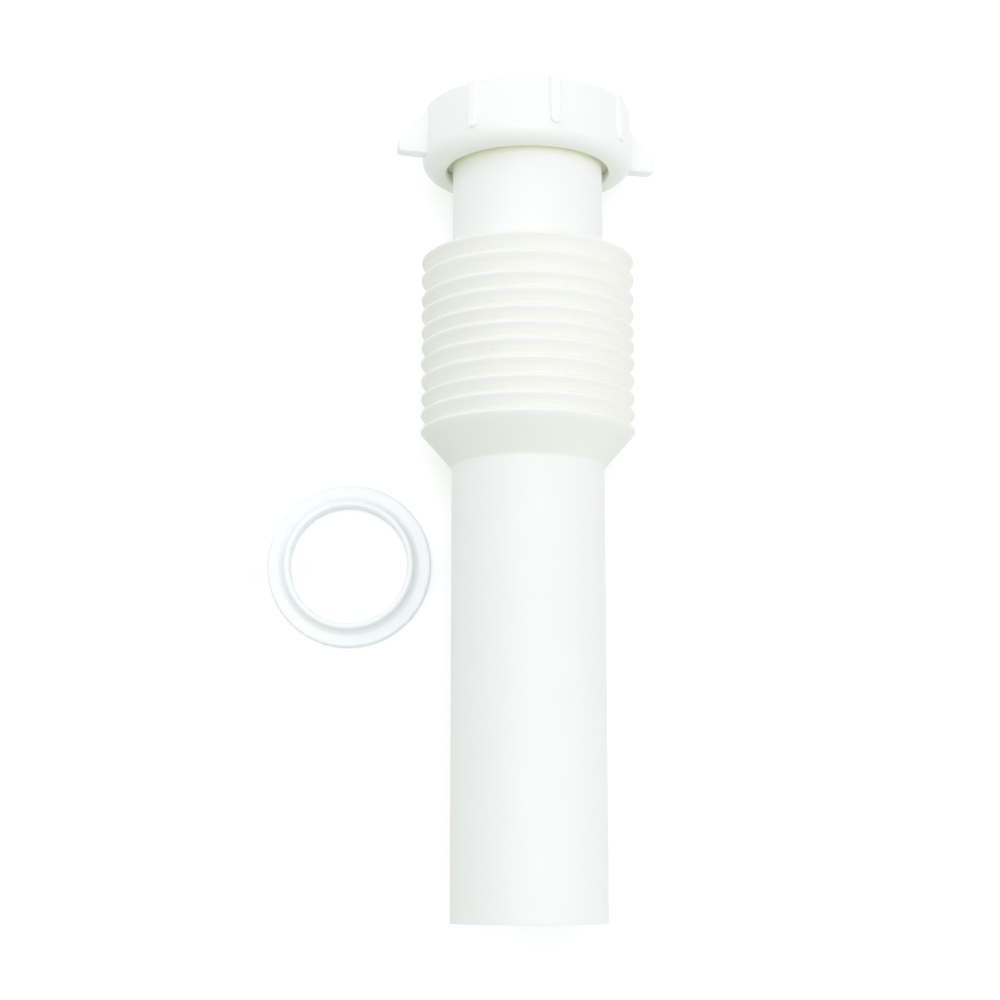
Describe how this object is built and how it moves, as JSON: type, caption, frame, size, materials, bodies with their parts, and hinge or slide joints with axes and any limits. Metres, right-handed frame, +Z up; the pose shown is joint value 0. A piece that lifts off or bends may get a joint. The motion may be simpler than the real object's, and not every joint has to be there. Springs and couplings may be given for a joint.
{
  "type": "basin waste tail pipe",
  "caption": "Flexible plastic basin waste tail pipe: winged coupling nut on a flanged inlet, short bellows, long plain outlet, with its loose collared sealing washer beside it.",
  "frame": {"origin": "on the pipe's axis, in the plane of the inlet flange's sealing face", "axes": "+Y along the pipe's axis, out of the inlet; +Z up, away from the surface that the pipe lies on; +X away from the loose washer"},
  "size_m": [0.1007, 0.2038, 0.0544],
  "materials": {
    "pipe_white": "semi-gloss white polypropylene",
    "nut_white": "semi-gloss white polypropylene",
    "washer_milky": "milky soft polyethylene"
  },
  "bodies": {
    "pipe": {"tail_pipe": "pipe_white", "sealing_washer": "washer_milky"},
    "nut": {"coupling_nut": "nut_white"}
  },
  "joints": [
    {"name": "nut_spin", "type": "hinge", "parent": "pipe", "child": "nut", "pos_m": [0, 0, 0], "axis": [0, 1, 0], "continuous": true}
  ]
}
